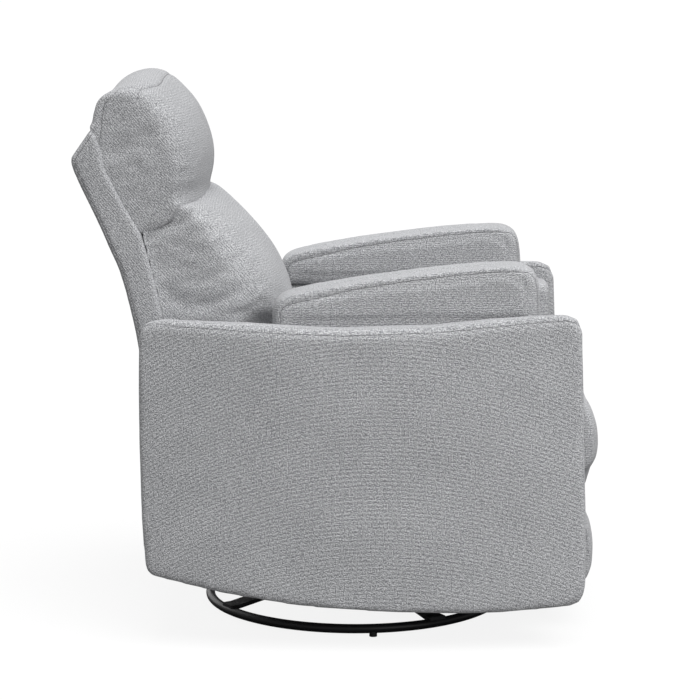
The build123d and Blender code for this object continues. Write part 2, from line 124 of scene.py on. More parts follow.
def far_light(name, energy, angle, source):
    """A distant light that shines from that direction and is that many degrees wide."""
    data = bpy.data.lights.new(name, "SUN")
    data.energy = energy
    data.angle = math.radians(angle)
    new_object(name, data).rotation_euler = looking_along(-Vector(source))


far_light("key_light", energy=3.2, angle=50, source=KEY_FROM)
far_light("rear_fill", energy=1.1, angle=60, source=FILL_FROM)

softbox_data = bpy.data.lights.new("front_softbox", "AREA")
softbox_data.energy = 14
softbox_data.size = 1.6
softbox = new_object("front_softbox", softbox_data)
softbox.location = SOFTBOX_AT
softbox.rotation_euler = looking_along(SOFTBOX_AIM - SOFTBOX_AT)

world = bpy.data.worlds.new("studio")
scene.world = world
world.use_nodes = True
sky = world.node_tree
sky.nodes.clear()
sky_out = sky.nodes.new("ShaderNodeOutputWorld")
sky_mix = sky.nodes.new("ShaderNodeMixShader")
sky_ray = sky.nodes.new("ShaderNodeLightPath")
for slot_number, strength in ((1, SKY_LIGHT), (2, 1.0)):
    glow = sky.nodes.new("ShaderNodeBackground")
    glow.inputs["Color"].default_value = WHITE
    glow.inputs["Strength"].default_value = strength
    sky.links.new(glow.outputs[0], sky_mix.inputs[slot_number])
sky.links.new(sky_ray.outputs["Is Camera Ray"], sky_mix.inputs[0])
sky.links.new(sky_mix.outputs[0], sky_out.inputs["Surface"])

scene.view_settings.view_transform = "Standard"

floor_bm = bmesh.new()
bmesh.ops.create_grid(floor_bm, x_segments=1, y_segments=1, size=FLOOR_SIZE)
studio_floor = from_bmesh("studio_floor", floor_bm)

# %% [markdown]
# ## Node groups shared by the finishes
#
# `build_group` makes an empty group from lists of sockets, and `add` makes a node with its values.
# Groups give out masks and heights only; each material keeps its own shader, and `wire` joins the
# finish to it.

# %% Helpers for node trees
FLOAT, VECTOR = "NodeSocketFloat", "NodeSocketVector"


def add(tree, kind, inputs=None, **settings):
    """A node of that kind with settings and input values or links."""
    node = tree.nodes.new(kind)
    for key, value in settings.items():
        setattr(node, key, value)
    for key, value in (inputs or {}).items():
        if isinstance(value, bpy.types.NodeSocket):
            tree.links.new(value, node.inputs[key])
        else:
            node.inputs[key].default_value = value
    return node


def maths(tree, operation, a, b=0.0, c=0.0, clamp=False):
    """The output of one Math node."""
    values = {0: a, 1: b, 2: c}
    return add(tree, "ShaderNodeMath", values, operation=operation, use_clamp=clamp).outputs[0]


def build_group(name, ins, outs):
    """An empty node group with sockets, each given as (name, kind, default)."""
    group = bpy.data.node_groups.new(name, "ShaderNodeTree")
    for title, kind, default in ins:
        socket = group.interface.new_socket(title, in_out="INPUT", socket_type=kind)
        if default is not None:
            socket.default_value = default
    for title, kind in outs:
        group.interface.new_socket(title, in_out="OUTPUT", socket_type=kind)
    return group, group.nodes.new("NodeGroupInput"), group.nodes.new("NodeGroupOutput")


def use_group(tree, group, inputs):
    """A group placed in a material."""
    return add(tree, "ShaderNodeGroup", inputs, node_tree=group)


def two_tone(tree, factor, low, high):
    """A colour between two, each a colour or a socket, by a factor."""
    low, high = (end if isinstance(end, bpy.types.NodeSocket) else (*end, 1) for end in (low, high))
    return add(tree, "ShaderNodeMix", {0: factor, 6: low, 7: high}, data_type="RGBA").outputs[2]


def surface_noise(tree, scale, detail=3.0, stretch=(1, 1, 1)):
    """Noise on object coordinates."""
    where = add(tree, "ShaderNodeTexCoord").outputs["Object"]
    turned = add(tree, "ShaderNodeMapping", {"Vector": where, "Scale": stretch}).outputs[0]
    values = {"Vector": turned, "Scale": scale, "Detail": detail}
    return add(tree, "ShaderNodeTexNoise", values).outputs["Fac"]


def new_material(name):
    """A material with an empty tree, its Principled shader and its output."""
    material = bpy.data.materials.new(name)
    material.use_nodes = True
    tree = material.node_tree
    tree.nodes.clear()
    shader = tree.nodes.new("ShaderNodeBsdfPrincipled")
    out = tree.nodes.new("ShaderNodeOutputMaterial")
    tree.links.new(shader.outputs[0], out.inputs["Surface"])
    return material, tree, shader


def wire(tree, shader, colour, roughness, height=None, strength=1.0, depth=0.0):
    """Colour, roughness and, where there is a height, bump for a shader."""
    tree.links.new(colour, shader.inputs["Base Color"])
    tree.links.new(roughness, shader.inputs["Roughness"])
    if height is not None:
        bump = add(tree, "ShaderNodeBump", {"Height": height, "Strength": strength, "Distance": depth})
        tree.links.new(bump.outputs[0], shader.inputs["Normal"])


# %% [markdown]
# ### Heathered chenille
#
# The cloth is woven from fuzzy yarns of two greys. Close up it shows short dashes lying along the
# rows, about 9 mm by 2 mm, with finer flecks in them, and every few millimetres a fuller row stands
# proud. The pattern reads a UV map in metres that each piece lays on itself, so the dashes keep
# their size on every cushion.

# %% Chenille weave group
DASH = (9.0 * MM, 1.9 * MM)
FLECK = (2.4 * MM, 1.9 * MM)
GATHER = (2.6 * MM, 16 * MM)
CLOUD = (90 * MM, 70 * MM)
WANDER = (50 * MM, 30 * MM)

weave, w_in, w_out = build_group(
    "chenille_weave",
    [("Cloth", VECTOR, None), ("Row Depth", FLOAT, 0.5), ("Row Pitch", FLOAT, 8.0 * MM),
     ("Fleck", FLOAT, 0.5), ("Gather", FLOAT, 0.0)],
    [("Shade", FLOAT), ("Height", FLOAT)],
)
split = add(weave, "ShaderNodeSeparateXYZ", {0: w_in.outputs["Cloth"]})
along, across = split.outputs[0], split.outputs[1]


def blots(size, detail, gain):
    """Noise on the cloth, in blots of that length and height, centred on nought."""
    u = maths(weave, "MULTIPLY", along, 1 / size[0])
    v = maths(weave, "MULTIPLY", across, 1 / size[1])
    where = add(weave, "ShaderNodeCombineXYZ", {0: u, 1: v}).outputs[0]
    values = {"Vector": where, "Scale": 1.0, "Detail": detail, "Roughness": 0.6}
    fac = add(weave, "ShaderNodeTexNoise", values).outputs["Fac"]
    return maths(weave, "MULTIPLY", maths(weave, "SUBTRACT", fac, 0.5), gain)


dashes = blots(DASH, detail=2.0, gain=2.5)
flecks = blots(FLECK, detail=1.0, gain=9.0)
gathers = blots(GATHER, detail=1.0, gain=2.2)
cloud = blots(CLOUD, detail=2.0, gain=0.30)
wander = blots(WANDER, detail=1.0, gain=3.0)
turns = maths(weave, "DIVIDE", maths(weave, "MULTIPLY", across, 2 * math.pi), w_in.outputs["Row Pitch"])
row_phase = maths(weave, "ADD", wander, turns)
rows = maths(weave, "MULTIPLY", maths(weave, "SINE", row_phase), w_in.outputs["Row Depth"])
shade = maths(weave, "MULTIPLY_ADD", flecks, w_in.outputs["Fleck"], dashes)
shade = maths(weave, "MULTIPLY_ADD", gathers, w_in.outputs["Gather"], shade)
shade = maths(weave, "ADD", maths(weave, "MULTIPLY_ADD", rows, 0.22, shade), cloud)
weave.links.new(shade, w_out.inputs["Shade"])
height = maths(weave, "MULTIPLY_ADD", flecks, 0.5, maths(weave, "MULTIPLY_ADD", rows, 0.5, dashes))
height = maths(weave, "MULTIPLY_ADD", gathers, w_in.outputs["Gather"], height)
weave.links.new(height, w_out.inputs["Height"])
print("weave group", len(weave.nodes), "nodes")

# %% [markdown]
# ### Seams
#
# A sewn seam is drawn in the skin and the bump as a fine line in a shallow valley, and the cloth's
# colour gets painted shade: dark along the line and faint over the valley. Each piece stores how far
# every vertex is from a seam as an attribute, with ten added so that a piece without the attribute,
# which reads as zero, shows none. The distance changes evenly over the surface, so the line stays sharp.

# %% Seam group
SEAM_HOME = 10.0
SEAMS = ("seam_a", "seam_b")
GATHER_REACH = 20 * MM

seam_group, s_in, s_out = build_group(
    "sewn_seam",
    [("Distance", FLOAT, 0.0), ("Line", FLOAT, 1.1 * MM), ("Valley", FLOAT, 5.0 * MM)],
    [("Line", FLOAT), ("Valley", FLOAT), ("Gather", FLOAT)],
)
signed = maths(seam_group, "SUBTRACT", s_in.outputs["Distance"], SEAM_HOME)
away = maths(seam_group, "ABSOLUTE", signed)
fade_out = maths(seam_group, "SUBTRACT", 1.0, maths(seam_group, "DIVIDE", away, GATHER_REACH), clamp=True)
tight_side = maths(seam_group, "DIVIDE", signed, -2 * MM, clamp=True)
seam_group.links.new(maths(seam_group, "MULTIPLY", fade_out, tight_side), s_out.inputs["Gather"])
for title in ("Line", "Valley"):
    reach = maths(seam_group, "DIVIDE", away, s_in.outputs[title])
    seam_group.links.new(maths(seam_group, "SUBTRACT", 1.0, reach, clamp=True), s_out.inputs[title])
print("seam group", len(seam_group.nodes), "nodes")


# %% Upholstery material
CHENILLE_DARK = (0.200, 0.203, 0.213)
CHENILLE_GREY = (0.404, 0.408, 0.422)
CHENILLE_LIGHT = (0.680, 0.684, 0.698)
# Painted shade for the seams: a near-black colour, and how strongly it lies on the seam line and on its
# valley.
SEAM_SHADOW = [v * 0.25 for v in CHENILLE_DARK]
SEAM_LINE_SHADE, VALLEY_SHADE = 0.55, 0.08
SEAM_DEPTH = 1.6
PATTERN_SQUARE, PATTERN_LOSS = 0.56, 0.30
RELIEF_SQUARE, RELIEF_LOSS = 1.12, 0.8
PANEL_ROWS = 8.0 * MM
CUSHION_ROWS = 4.4 * MM


def chenille(name, row_depth, row_pitch, fleck):
    """The grey upholstery cloth; its pattern and relief are full seen square and fade at a slant. Seams
    get painted shade on their line and valley.
    """
    material, tree, shader = new_material(name)
    line, valley, gather = 0.0, 0.0, 0.0
    for title in SEAMS:
        distance = add(tree, "ShaderNodeAttribute", attribute_name=title)
        sewn = use_group(tree, seam_group, {"Distance": distance.outputs["Fac"]})
        line = maths(tree, "MAXIMUM", sewn.outputs["Line"], line)
        valley = maths(tree, "MAXIMUM", sewn.outputs["Valley"], valley)
        gather = maths(tree, "MAXIMUM", sewn.outputs["Gather"], gather)
    cloth = add(tree, "ShaderNodeUVMap", uv_map="cloth").outputs[0]
    woven = use_group(tree, weave, {"Cloth": cloth, "Row Depth": row_depth, "Row Pitch": row_pitch,
                                    "Fleck": fleck, "Gather": gather})
    slant = add(tree, "ShaderNodeLayerWeight", {"Blend": 0.5}).outputs["Facing"]
    contrast = maths(tree, "MULTIPLY_ADD", slant, -PATTERN_LOSS, PATTERN_SQUARE)
    tone = maths(tree, "MULTIPLY_ADD", woven.outputs["Shade"], contrast, 0.5, clamp=True)
    ramp = add(tree, "ShaderNodeValToRGB", {0: tone})
    steps = ramp.color_ramp.elements
    steps[0].position, steps[0].color = 0.08, (*CHENILLE_DARK, 1)
    steps[1].position, steps[1].color = 0.92, (*CHENILLE_LIGHT, 1)
    steps.new(0.5).color = (*CHENILLE_GREY, 1)
    # Painted shade: the colour darkens along each seam line and, faintly, over its valley.
    painted_valley_shade = maths(tree, "MULTIPLY", valley, VALLEY_SHADE)
    painted_seam_shade = maths(tree, "MULTIPLY_ADD", line, SEAM_LINE_SHADE, painted_valley_shade, clamp=True)
    relief = maths(tree, "MULTIPLY_ADD", slant, -RELIEF_LOSS, RELIEF_SQUARE, clamp=True)
    level = maths(tree, "MULTIPLY", woven.outputs["Height"], relief)
    wire(tree, shader,
         colour=two_tone(tree, painted_seam_shade, ramp.outputs[0], SEAM_SHADOW),
         roughness=maths(tree, "MULTIPLY_ADD", woven.outputs["Shade"], -0.05, 0.93, clamp=True),
         height=maths(tree, "MULTIPLY_ADD", line, -SEAM_DEPTH, level), strength=0.5, depth=0.7 * MM)
    shader.inputs["Specular IOR Level"].default_value = 0.2
    shader.inputs["Sheen Weight"].default_value = 0.12
    shader.inputs["Sheen Roughness"].default_value = 0.55
    return material


cloth_panel = chenille("chenille_panel", row_depth=0.8, row_pitch=PANEL_ROWS, fleck=0.6)
cloth_cushion = chenille("chenille_cushion", row_depth=0.75, row_pitch=CUSHION_ROWS, fleck=0.5)
print("cloth", cloth_panel.name, cloth_cushion.name)

# %% [markdown]
# ### Steel, timber and plastic
#
# The ring and its cross wear a satin black powder coat with the fine orange peel of the spray.
# The links underneath are the same black lacquer over pressed plate, rubbed bright on their edges.
# Springs and bolts are zinc plated, and the hidden rails are raw timber.

# %% Coat, zinc, timber and plastic
WORN_STEEL = (0.30, 0.30, 0.31)
EDGE_START = 0.53
EDGE_GAIN = 14.0

wear, e_in, e_out = build_group("edge_wear", [("Amount", FLOAT, 0.5)], [("Mask", FLOAT)])
pointed = add(wear, "ShaderNodeNewGeometry").outputs["Pointiness"]
edge_only = maths(wear, "MULTIPLY", maths(wear, "SUBTRACT", pointed, EDGE_START), EDGE_GAIN, clamp=True)
rubbed = maths(wear, "MULTIPLY", edge_only, surface_noise(wear, 90.0))
wear.links.new(maths(wear, "MULTIPLY", rubbed, e_in.outputs["Amount"], clamp=True), e_out.inputs["Mask"])


def painted_steel(name, colour, roughness, amount):
    """Black coat with orange peel, worn on its edges."""
    material, tree, shader = new_material(name)
    mask = use_group(tree, wear, {"Amount": amount}).outputs["Mask"]
    mottled = two_tone(tree, surface_noise(tree, 35.0), colour, [v * 1.5 for v in colour])
    wire(tree, shader,
         colour=two_tone(tree, mask, mottled, WORN_STEEL),
         roughness=maths(tree, "MULTIPLY_ADD", surface_noise(tree, 60.0), 0.16, roughness - 0.08),
         height=surface_noise(tree, 900.0, detail=1.0), strength=0.12, depth=0.4 * MM)
    shader.inputs["Specular IOR Level"].default_value = 0.45
    return material


def zinc_plate(name):
    """Dull bright plating with faint rubbed streaks."""
    material, tree, shader = new_material(name)
    streak = surface_noise(tree, 70.0, detail=4.0, stretch=(1, 12, 1))
    wire(tree, shader,
         colour=two_tone(tree, streak, (0.42, 0.43, 0.44), (0.66, 0.66, 0.65)),
         roughness=maths(tree, "MULTIPLY_ADD", streak, 0.25, 0.22))
    shader.inputs["Metallic"].default_value = 1.0
    return material


def raw_timber(name):
    """Sawn rails, their grain running across the chair."""
    material, tree, shader = new_material(name)
    grain = surface_noise(tree, 60.0, detail=6.0, stretch=(0.06, 1.0, 1.0))
    wire(tree, shader,
         colour=two_tone(tree, grain, (0.33, 0.20, 0.10), (0.62, 0.45, 0.27)),
         roughness=maths(tree, "MULTIPLY_ADD", grain, 0.2, 0.62),
         height=grain, strength=0.25, depth=0.6 * MM)
    return material


def moulded_plastic(name, colour):
    """Black plastic with a fine moulded grain."""
    material, tree, shader = new_material(name)
    wire(tree, shader,
         colour=two_tone(tree, surface_noise(tree, 80.0), colour, [v * 1.4 for v in colour]),
         roughness=maths(tree, "MULTIPLY_ADD", surface_noise(tree, 40.0), 0.15, 0.42),
         height=surface_noise(tree, 1400.0, detail=1.0), strength=0.2, depth=0.2 * MM)
    return material


def elastic_web(name):
    """Black elastic webbing with lengthwise ribs."""
    material, tree, shader = new_material(name)
    where = add(tree, "ShaderNodeTexCoord").outputs["Object"]
    ribs = add(tree, "ShaderNodeTexWave", {"Vector": where, "Scale": 260.0, "Distortion": 0.6},
               bands_direction="Z").outputs["Fac"]
    wire(tree, shader,
         colour=two_tone(tree, ribs, (0.02, 0.02, 0.022), (0.09, 0.09, 0.09)),
         roughness=maths(tree, "MULTIPLY_ADD", surface_noise(tree, 50.0), 0.15, 0.75),
         height=ribs, strength=0.5, depth=0.5 * MM)
    return material


FINISHES = {
    "black_steel": painted_steel("powder_coat", (0.010, 0.010, 0.012), roughness=0.42, amount=0.12),
    "mechanism_steel": painted_steel("link_lacquer", (0.018, 0.018, 0.020), roughness=0.38, amount=0.7),
    "bare_steel": zinc_plate("zinc_plate"),
    "timber": raw_timber("raw_timber"),
    "plastic": moulded_plastic("moulded_black", (0.014, 0.014, 0.015)),
    "webbing": elastic_web("elastic_web"),
    "upholstery": cloth_panel,
}

for entry in frame["record"]["subparts"]:
    solid = frame["nodes"][entry["node"]]
    solid.data.materials.clear()
    solid.data.materials.append(FINISHES[entry["material_slot"]])
print("finishes on", len(frame["nodes"]), "solids")

# %% [markdown]
# ### Studio paper
#
# The camera sees the paper floor almost burnt out, with a soft shadow left under the chair. All
# else sees a dull grey, so that the floor throws little light back on the chair.

# %% Studio paper
SHADOW_SHARE = 0.12

pale = bpy.data.materials.new("studio_white")
pale.use_nodes = True
pale_tree = pale.node_tree
pale_tree.nodes.clear()
paper = two_tone(pale_tree, surface_noise(pale_tree, 0.8), (0.88, 0.88, 0.88), (0.92, 0.92, 0.92))
seen_paper = add(pale_tree, "ShaderNodeBsdfDiffuse", {"Color": paper}).outputs[0]
own_light = add(pale_tree, "ShaderNodeEmission", {"Color": WHITE, "Strength": 1.0}).outputs[0]
washed = add(pale_tree, "ShaderNodeMixShader", {0: SHADOW_SHARE, 1: own_light, 2: seen_paper}).outputs[0]
lit_paper = add(pale_tree, "ShaderNodeBsdfDiffuse", {"Color": (0.2, 0.2, 0.2, 1)}).outputs[0]
by_eye = add(pale_tree, "ShaderNodeLightPath").outputs["Is Camera Ray"]
pale_mix = add(pale_tree, "ShaderNodeMixShader", {0: by_eye, 1: lit_paper, 2: washed})
pale_out = pale_tree.nodes.new("ShaderNodeOutputMaterial")
pale_tree.links.new(pale_mix.outputs[0], pale_out.inputs["Surface"])
studio_floor.data.materials.append(pale)
print("paper", pale.name)

# %% [markdown]
# ## Tools for upholstery
#
# A soft piece starts as a merged copy of its plain solid. A voxel remesh gives it an even skin that
# cloth can move, smoothing takes the machine edges off, and a short cloth simulation with air
# pressure inside fills it like a stuffed cover. How far a point may move is capped, so the piece
# stays in the room that the frame gives it.

# %% Mesh helpers
AIR_PRESSURE = 4.0
LAST_FRAME = 20


def merged_copy(node, name):
    """A copy of a plain solid with its loose triangles joined."""
    bm = bmesh.new()
    bm.from_mesh(frame["nodes"][node].data)
    bmesh.ops.remove_doubles(bm, verts=bm.verts, dist=0.02 * MM)
    return from_bmesh(name, bm)


def block_from(name, outline, near, far, radius):
    """A block with rounded edges: a side outline in (y, z), drawn out from near to far in X."""
    bm = bmesh.new()
    face = bm.faces.new([bm.verts.new((near, y, z)) for y, z in outline])
    pulled = bmesh.ops.extrude_face_region(bm, geom=[face])
    moved = [v for v in pulled["geom"] if isinstance(v, bmesh.types.BMVert)]
    bmesh.ops.translate(bm, verts=moved, vec=(far - near, 0, 0))
    bmesh.ops.recalc_face_normals(bm, faces=bm.faces)
    bmesh.ops.bevel(bm, geom=bm.edges[:], offset=radius, offset_type="OFFSET", affect="EDGES",
                    segments=4, profile=0.5, material=-1)
    return from_bmesh(name, bm)


def bake(thing):
    """Applies every modifier that is on a piece."""
    shaped = bpy.data.meshes.new_from_object(thing.evaluated_get(bpy.context.evaluated_depsgraph_get()))
    thing.modifiers.clear()
    thing.data = shaped
    return thing


def even_skin(thing, size):
    """Voxel remesh at that size."""
    remesh = thing.modifiers.new("even_skin", "REMESH")
    remesh.mode = "VOXEL"
    remesh.voxel_size = size
    return bake(thing)


def points_of(thing):
    """The vertices as an array."""
    flat = np.empty(len(thing.data.vertices) * 3)
    thing.data.vertices.foreach_get("co", flat)
    return flat.reshape(-1, 3)


def set_points(thing, points):
    """Moves the vertices."""
    thing.data.vertices.foreach_set("co", points.ravel())
    thing.data.update()


def normals_of(thing):
    """The vertex normals as an array."""
    flat = np.empty(len(thing.data.vertices) * 3)
    thing.data.vertex_normals.foreach_get("vector", flat)
    return flat.reshape(-1, 3)


def relax(thing, times):
    """Smooths a skin."""
    bm = bmesh.new()
    bm.from_mesh(thing.data)
    for _ in range(times):
        bmesh.ops.smooth_vert(bm, verts=bm.verts, factor=0.5,
                              use_axis_x=True, use_axis_y=True, use_axis_z=True)
    bm.to_mesh(thing.data)
    bm.free()
    thing.data.update()


def swell(thing, distance):
    """Moves the skin out, or in where the distance is below nought."""
    set_points(thing, points_of(thing) + normals_of(thing) * distance)


def limit_move(thing, start, cap):
    """Lets no point stand further than that from where it started."""
    moved = points_of(thing) - start
    length = np.maximum(np.linalg.norm(moved, axis=1, keepdims=True), 1e-9)
    set_points(thing, start + moved * np.minimum(1.0, cap / length))


def inflate(thing, cap):
    """Fills a cover with air by cloth simulation; no point moves further than the cap."""
    before = points_of(thing)
    cloth = thing.modifiers.new("stuffing", "CLOTH")
    cloth.settings.quality = 4
    cloth.settings.use_pressure = True
    cloth.settings.uniform_pressure_force = AIR_PRESSURE
    cloth.settings.effector_weights.gravity = 0
    cloth.settings.tension_stiffness = 12
    cloth.settings.compression_stiffness = 12
    cloth.settings.bending_stiffness = 0.4
    cloth.collision_settings.use_collision = False
    cloth.point_cache.frame_start = 1
    cloth.point_cache.frame_end = LAST_FRAME
    for number in range(1, LAST_FRAME + 1):
        scene.frame_set(number)
    bake(thing)
    scene.frame_set(1)
    limit_move(thing, before, cap)


def solid_tree(node):
    """A search tree over the faces of a plain solid."""
    mesh = frame["nodes"][node].data
    return BVHTree.FromPolygons([v.co for v in mesh.vertices], [p.vertices[:] for p in mesh.polygons])


def hold_in(thing, node, allow):
    """Brings back what stands further out of its plain solid than allowed."""
    tree = solid_tree(node)
    points = points_of(thing)
    held = 0
    for number, point in enumerate(points):
        spot, normal, _, away = tree.find_nearest(Vector(point))
        outward = Vector(point) - spot
        if away > allow and outward.dot(normal) > 0:
            points[number] = spot + outward * (allow / away)
            held += 1
    set_points(thing, points)
    print(thing.name, "held in at", held, "of", len(points), "points")


def tuck_in(thing, shape, nodes, reach, depth):
    """Keeps a cover on its first shape, or that deep inside, where it meets the solids next to it."""
    trees = [solid_tree(node) for node in nodes]
    points = points_of(thing)
    for number, start in enumerate(shape):
        hits = [tree.find_nearest(Vector(start)) for tree in trees]
        spot, normal, _, away = min(hits, key=lambda hit: hit[3])
        if away < reach:
            firm = 1 - away / reach
            firm *= firm * (3 - 2 * firm)
            towards = (spot - Vector(start)) / away if away > MM else -normal
            goal = start + np.array(towards) * (away + depth)
            points[number] += (goal - points[number]) * firm
    set_points(thing, points)


def side_path(*corners):
    """A run of (y, z) points in millimetres from the swivel axis, seen from the side."""
    return np.array(corners) * MM + np.array((SWIVEL_Y, 0))


def path_distance(points, path):
    """Signed distance from a path seen from the side."""
    flat = points[:, 1:]
    nearest = np.full(len(points), 9.0)
    signed = nearest.copy()
    for start, end in zip(path[:-1], path[1:]):
        run = end - start
        share = np.clip((flat - start) @ run / (run @ run), 0, 1)
        far = np.linalg.norm(flat - start - share[:, None] * run, axis=1)
        turn = run[0] * (flat[:, 1] - start[1]) - run[1] * (flat[:, 0] - start[0])
        signed = np.where(far < nearest, np.copysign(far, turn), signed)
        nearest = np.minimum(far, nearest)
    return signed


def spot_distance(points, spot):
    """Distance from a spot seen from the side, given as in side_path."""
    return np.linalg.norm(points[:, 1:] - side_path(spot)[0], axis=1)


def toward_ends(points, start, run):
    """A strength that is nought up to that far from the middle and rises to one over that run."""
    return np.clip((np.abs(points[:, 0]) - start) / run, 0, 1)


def push(thing, spot, radius, shift, inner=-1.0):
    """Moves the skin round a spot by (y, z), from that far out of its middle."""
    points = points_of(thing)
    near = np.exp(-(spot_distance(points, spot) / radius) ** 2)
    points[:, 1:] += (near * toward_ends(points, inner, 60 * MM))[:, None] * np.array(shift)
    set_points(thing, points)


def finer(thing):
    """One subdivision, applied."""
    smooth = thing.modifiers.new("finer", "SUBSURF")
    smooth.levels = smooth.render_levels = 1
    return bake(thing)


def ripple(thing, size, depth, where=None, seed=0.0, stretch=(1, 1, 1)):
    """Gentle hollows and rises, as cloth over padding has; where gives their strength."""
    points, normals = points_of(thing), normals_of(thing)
    strength = np.ones(len(points)) if where is None else where(points)
    spots = points * np.array(stretch) / size + np.array((seed, 0, 0))
    offset = np.array([noise.noise(Vector(spot)) for spot in spots])
    set_points(thing, points + normals * (offset * strength * depth)[:, None])


def sew(thing, title, distance, depth, width):
    """Keeps the distance from a seam as an attribute, and draws the skin in along it."""
    points, normals = points_of(thing), normals_of(thing)
    away = distance(points)
    layer = thing.data.attributes.new(title, "FLOAT", "POINT")
    layer.data.foreach_set("value", np.asarray(away + SEAM_HOME, float))
    pull = np.exp(-(away / width) ** 2) * depth
    set_points(thing, points - normals * pull[:, None])


def crease(thing, path, depth, width, inner):
    """A soft valley along a path, on both ends of a cushion from that far out of its middle."""
    points, normals = points_of(thing), normals_of(thing)
    valley = np.exp(-(path_distance(points, path) / width) ** 2)
    pull = valley * toward_ends(points, inner, 50 * MM) * depth
    set_points(thing, points - normals * pull[:, None])


def level_rows(p):
    """Cloth laid on a side face with its rows level."""
    return np.stack([p[:, 1], p[:, 2]], 1)


def slant_rows(p):
    """Cloth laid on a side face with its rows running steeply up to the rear."""
    level, rise = 0.66, 0.75
    return np.stack([-level * p[:, 1] - rise * p[:, 2], rise * p[:, 1] - level * p[:, 2]], 1)


def lay_cloth(thing, side_rows=level_rows, top="x"):
    """Gives a piece its cloth map in metres; on top the rows run along X or Y."""
    mesh = thing.data
    corner = np.empty(len(mesh.loops), int)
    mesh.loops.foreach_get("vertex_index", corner)
    facing = np.empty(len(mesh.polygons) * 3)
    mesh.polygon_normals.foreach_get("vector", facing)
    facing = np.abs(facing.reshape(-1, 3))
    sizes = np.empty(len(mesh.polygons), int)
    mesh.polygons.foreach_get("loop_total", sizes)
    # A face that leans as much outward as upward counts as a side.
    side = np.repeat(np.argmax(facing * np.array([1.0, 1.0, 0.9]), axis=1), sizes)
    p = points_of(thing)[corner]
    above = p[:, :2] if top == "x" else p[:, 1::-1]
    uv = np.where(side[:, None] == 0, side_rows(p), np.where(side[:, None] == 1, p[:, ::2], above))
    layer = mesh.uv_layers.new(name="cloth")
    layer.data.foreach_set("uv", np.ascontiguousarray(uv, dtype=np.float32).ravel())


def dress(thing, body, nodes, material):
    """The last step of every piece: finish, shading, body and the solids it stands for."""
    thing.data.materials.clear()
    thing.data.materials.append(material)
    thing.data.shade_smooth()
    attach(thing, body)
    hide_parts(*nodes)
    print(thing.name, len(thing.data.polygons), "faces")


# %% [markdown]
# ## Outer arm panels
#
# Each side of the chair is one broad padded panel, bowed like a barrel stave. A narrow boxing strip
# runs over its top edge, with the seam 11 mm below the edge on the outer face. The rows of the weave
# arch over the middle of the panel, because the cloth was pulled down at both ends.

# %% Outer arm panels
PANEL_SEAM_DROP = 11 * MM
PANEL_TOP = side_path(
    (-424, 600), (-418, 612), (-408, 625), (-385, 633), (-326, 631), (-239, 623), (-153, 615), (-67, 612),
    (22, 609), (139, 613), (282, 621), (351, 624), (378, 622), (395, 612), (402, 590))
ROLL_HIGH = 28 * MM
ROLL_WIDE = 40 * MM
ROLL_DEPTH = 14 * MM
ARCH_TOP = SWIVEL_Y - 0.03
ARCH_LEAN = 0.008
ARCH_BEHIND = 0.70
ARCH_AHEAD = 0.575


def panel_edge(points):
    """Height of the panel's top edge beside each point."""
    return np.interp(points[:, 1], *PANEL_TOP.T)


def arched_rows(p):
    """Rows that arch over the middle of a side panel."""
    behind = np.maximum(0, p[:, 1] - ARCH_TOP)
    ahead = np.minimum(0, p[:, 1] - ARCH_TOP)
    fall = ARCH_LEAN * (behind + ahead) + ARCH_BEHIND * behind ** 2 + ARCH_AHEAD * ahead ** 2
    return np.stack([p[:, 1], p[:, 2] + fall], 1)


def crowned_top(thing, outward, outer):
    """Rolls the outer top edge of a panel in towards the arm."""
    points = points_of(thing)
    up = np.clip((points[:, 2] - panel_edge(points) + ROLL_HIGH) / ROLL_HIGH, 0, 1)
    out = np.clip((points[:, 0] * outward - outer + ROLL_WIDE) / ROLL_WIDE, 0, 1)
    points[:, 0] -= outward * ROLL_DEPTH * out * (1 - np.sqrt(1 - 0.9 * up ** 2))
    set_points(thing, points)


for side, outward in SIDES:
    node = "arm_panel_" + side
    low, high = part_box(node)
    panel = even_skin(merged_copy(node, "outer_panel_" + side), 7.0 * MM)
    relax(panel, 1)
    swell(panel, 0.8 * MM)
    crowned_top(panel, outward, max(abs(low.x), abs(high.x)))
    ripple(panel, size=0.16, depth=2.6 * MM, seed=3.1)
    ripple(panel, size=0.05, depth=0.5 * MM, seed=9.4)
    finer(panel)

    def below_edge(points):
        """Distance from the seam under the top edge, which nears the edge at both ends."""
        stations = (low.y, low.y + 0.06, high.y - 0.08, high.y)
        taper = np.interp(points[:, 1], stations, (0.5, 1, 1, 0.2))
        return panel_edge(points) - points[:, 2] - PANEL_SEAM_DROP * taper

    sew(panel, "seam_a", below_edge, depth=0.9 * MM, width=4 * MM)
    lay_cloth(panel, arched_rows, top="y")
    dress(panel, "carriage", [node], cloth_panel)

# %% [markdown]
# ## Arm boxes and arm pads
#
# Inside each panel stands a plain upholstered box, which reaches a little into the panel so that
# no gap shows. On it lies the arm pad: a firm boxed cushion whose top strip wraps over both ends,
# sewn to flat side pieces a little in from the outline.

# %% Arm boxes
ARM_BOX_TUCK = 5 * MM

for side, outward in SIDES:
    node = "arm_cover_" + side
    low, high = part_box(node)
    front, rear = low.y, high.y
    near, far = (low.x, high.x + ARM_BOX_TUCK) if outward > 0 else (low.x - ARM_BOX_TUCK, high.x)
    corners = [(front, low.z + 6 * MM), (SWIVEL_Y, low.z), (SWIVEL_Y + 0.2, low.z + 20 * MM),
               (rear, low.z + 60 * MM), (rear, high.z), (front, high.z)]
    box = even_skin(block_from("arm_box_" + side, corners, near, far, 9 * MM), 8 * MM)
    relax(box, 2)
    ripple(box, size=0.10, depth=1.2 * MM, seed=5.0)
    lay_cloth(box, top="y")
    dress(box, "carriage", [node], cloth_panel)

# %% Cushion recipe
TUCK_REACH = 16 * MM


